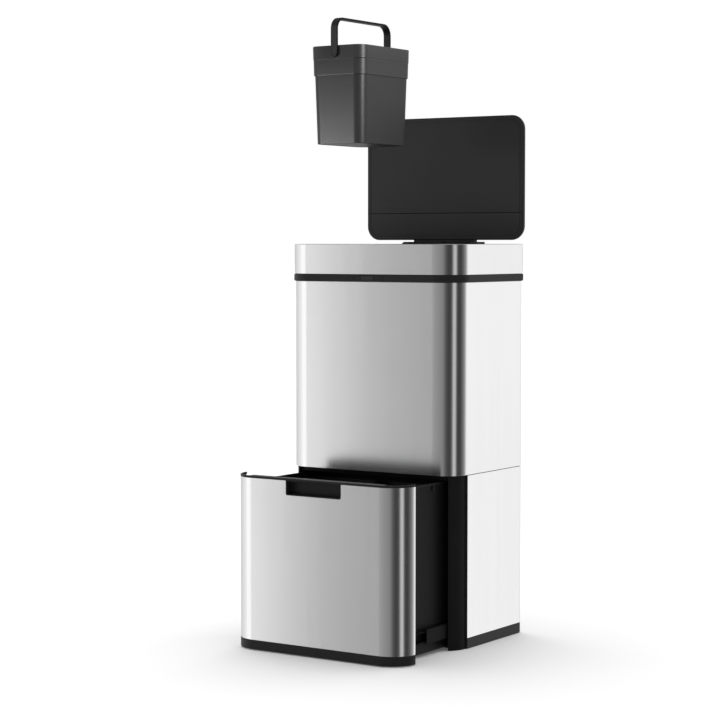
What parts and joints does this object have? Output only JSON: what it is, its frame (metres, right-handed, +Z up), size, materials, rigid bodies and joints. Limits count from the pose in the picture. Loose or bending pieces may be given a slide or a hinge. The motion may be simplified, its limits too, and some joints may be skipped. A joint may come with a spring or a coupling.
{
  "type": "recycling bin",
  "caption": "Two-storey brushed-steel kitchen waste bin with a motor-driven lid, a lift-off head, a pull-out recycling drawer and a lift-out food-waste caddy.",
  "frame": {"origin": "on the floor, under the middle of the case", "axes": "+Z up, -Y out of the drawer's front, +X to the right when facing the drawer"},
  "size_m": [0.419, 0.508, 1.2739],
  "materials": {
    "brushed_steel": "vertical fine brushing, satin",
    "black_plastic": "black moulded plastic, satin",
    "dark_plastic": "black moulded plastic, fine texture",
    "lid_plastic": "charcoal moulded plastic, fine texture",
    "caddy_plastic": "dark grey moulded plastic, satin",
    "bucket_plastic": "dark grey moulded plastic",
    "zinc_steel": "bright zinc-plated steel",
    "coated_steel": "black coated steel rail",
    "gear_plastic": "natural acetal",
    "circuit_board": "green solder mask",
    "battery_jacket": "plain film jacket",
    "window_plastic": "dark infrared window",
    "button_rubber": "matt rubber",
    "rubber": "matt rubber"
  },
  "bodies": {
    "case": {"base_plinth": "black_plastic", "lower_case_shell": "brushed_steel", "front_frame": "dark_plastic", "divider_deck": "dark_plastic", "upper_shell": "brushed_steel", "inner_bucket": "bucket_plastic", "slide_bracket_left": "dark_plastic", "slide_bracket_right": "dark_plastic", "slide_outer_left": "coated_steel", "slide_outer_right": "coated_steel"},
    "head": {"head_ring": "black_plastic", "collar_band": "brushed_steel", "head_frame": "black_plastic", "hinge_housing": "black_plastic", "hinge_pin_left": "zinc_steel", "hinge_pin_right": "zinc_steel", "drive_gearbox": "gear_plastic", "drive_motor": "zinc_steel", "control_board": "circuit_board", "battery_tray": "dark_plastic", "battery_cell_1": "battery_jacket", "battery_cell_2": "battery_jacket", "battery_cell_3": "battery_jacket", "battery_cell_4": "battery_jacket", "housing_cover": "black_plastic", "cover_screw_1": "zinc_steel", "cover_screw_2": "zinc_steel", "sensor_window": "window_plastic"},
    "lid": {"lid_shell": "lid_plastic", "lid_skin": "brushed_steel", "lid_inner_panel": "lid_plastic", "lid_hinge_cover": "lid_plastic", "lid_arm": "black_plastic", "sector_gear": "gear_plastic"},
    "pinion": {"drive_pinion": "gear_plastic"},
    "battery_door": {"battery_door": "black_plastic"},
    "power_switch": {"power_switch": "button_rubber"},
    "open_button": {"open_button": "button_rubber"},
    "close_button": {"close_button": "button_rubber"},
    "drawer": {"drawer_front_skin": "brushed_steel", "drawer_front_backing": "dark_plastic", "drawer_top_trim": "black_plastic", "drawer_finger_pull": "black_plastic", "drawer_skirt": "black_plastic", "drawer_chassis": "dark_plastic", "recycling_bucket_left": "bucket_plastic", "recycling_bucket_right": "bucket_plastic", "slide_inner_left": "coated_steel", "slide_inner_right": "coated_steel"},
    "slide_middle_left": {"slide_middle_left": "coated_steel"},
    "slide_middle_right": {"slide_middle_right": "coated_steel"},
    "caddy": {"caddy_body": "caddy_plastic"},
    "caddy_handle": {"caddy_handle": "caddy_plastic"}
  },
  "joints": [
    {"name": "drawer_slide", "type": "slide", "parent": "case", "child": "drawer", "axis": [0, 1, 0], "range_m": [-0.025, 0.195]},
    {"name": "slide_middle_left_travel", "type": "slide", "parent": "case", "child": "slide_middle_left", "axis": [0, 1, 0], "range_m": [-0.0125, 0.0975]},
    {"name": "slide_middle_right_travel", "type": "slide", "parent": "case", "child": "slide_middle_right", "axis": [0, 1, 0], "range_m": [-0.0125, 0.0975]},
    {"name": "head_lift", "type": "slide", "parent": "case", "child": "head", "axis": [0, 0, 1], "range_m": [0, 0.05]},
    {"name": "lid_hinge", "type": "hinge", "parent": "head", "child": "lid", "pos_m": [0, 0.1435, 0.809], "axis": [1, 0, 0], "range_deg": [0, 90]},
    {"name": "pinion_spin", "type": "hinge", "parent": "head", "child": "pinion", "pos_m": [0, 0.1435, 0.784], "axis": [1, 0, 0], "range_deg": [-240, 10]},
    {"name": "open_button_press", "type": "slide", "parent": "head", "child": "open_button", "axis": [0, 1, 0], "range_m": [0, 0.0008], "stiffness_N_per_m": 1500, "springref_m": -0.0004},
    {"name": "close_button_press", "type": "slide", "parent": "head", "child": "close_button", "axis": [0, 1, 0], "range_m": [0, 0.0008], "stiffness_N_per_m": 1500, "springref_m": -0.0004},
    {"name": "power_switch_travel", "type": "slide", "parent": "head", "child": "power_switch", "axis": [1, 0, 0], "range_m": [0, 0.0045]},
    {"name": "battery_door_removal", "type": "slide", "parent": "head", "child": "battery_door", "axis": [0, 1, 0], "range_m": [0, 0.03]},
    {"name": "caddy_lift_out", "type": "slide", "parent": "case", "child": "caddy", "axis": [-0.209, 0.3669, -0.9065], "range_m": [0, 0.4444]},
    {"name": "caddy_handle_swing", "type": "hinge", "parent": "caddy", "child": "caddy_handle", "pos_m": [-0.0236, -0.1296, 1.201], "axis": [0, -1, 0], "range_deg": [-105, 105]}
  ],
  "couplings": [
    {"joint": "slide_middle_left_travel", "follows": "drawer_slide", "ratio": 0.5},
    {"joint": "slide_middle_right_travel", "follows": "drawer_slide", "ratio": 0.5},
    {"joint": "pinion_spin", "follows": "lid_hinge", "ratio": -2.5714}
  ]
}
